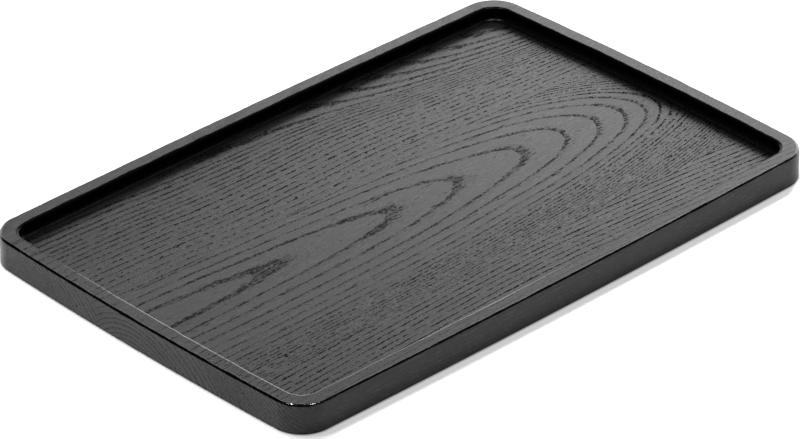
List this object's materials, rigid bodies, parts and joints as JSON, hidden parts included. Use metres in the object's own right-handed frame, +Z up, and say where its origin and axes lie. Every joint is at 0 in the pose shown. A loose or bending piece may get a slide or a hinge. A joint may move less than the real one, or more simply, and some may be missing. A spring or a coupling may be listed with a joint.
{
  "type": "serving tray",
  "caption": "Low rectangular wooden serving tray with a shallow milled well, bowed sides, rounded corners and a flat rim; boards glued edge to edge, stained black.",
  "frame": {"origin": "middle of the underside", "axes": "+X along the tray's length and the grain, +Y towards the back long side, +Z up out of the well"},
  "size_m": [0.394, 0.26, 0.018],
  "materials": {
    "stained_wood": "open-pored, stained black, satin lacquer"
  },
  "bodies": {
    "root": {"back_board": "stained_wood", "middle_board": "stained_wood", "front_board": "stained_wood"}
  },
  "joints": []
}
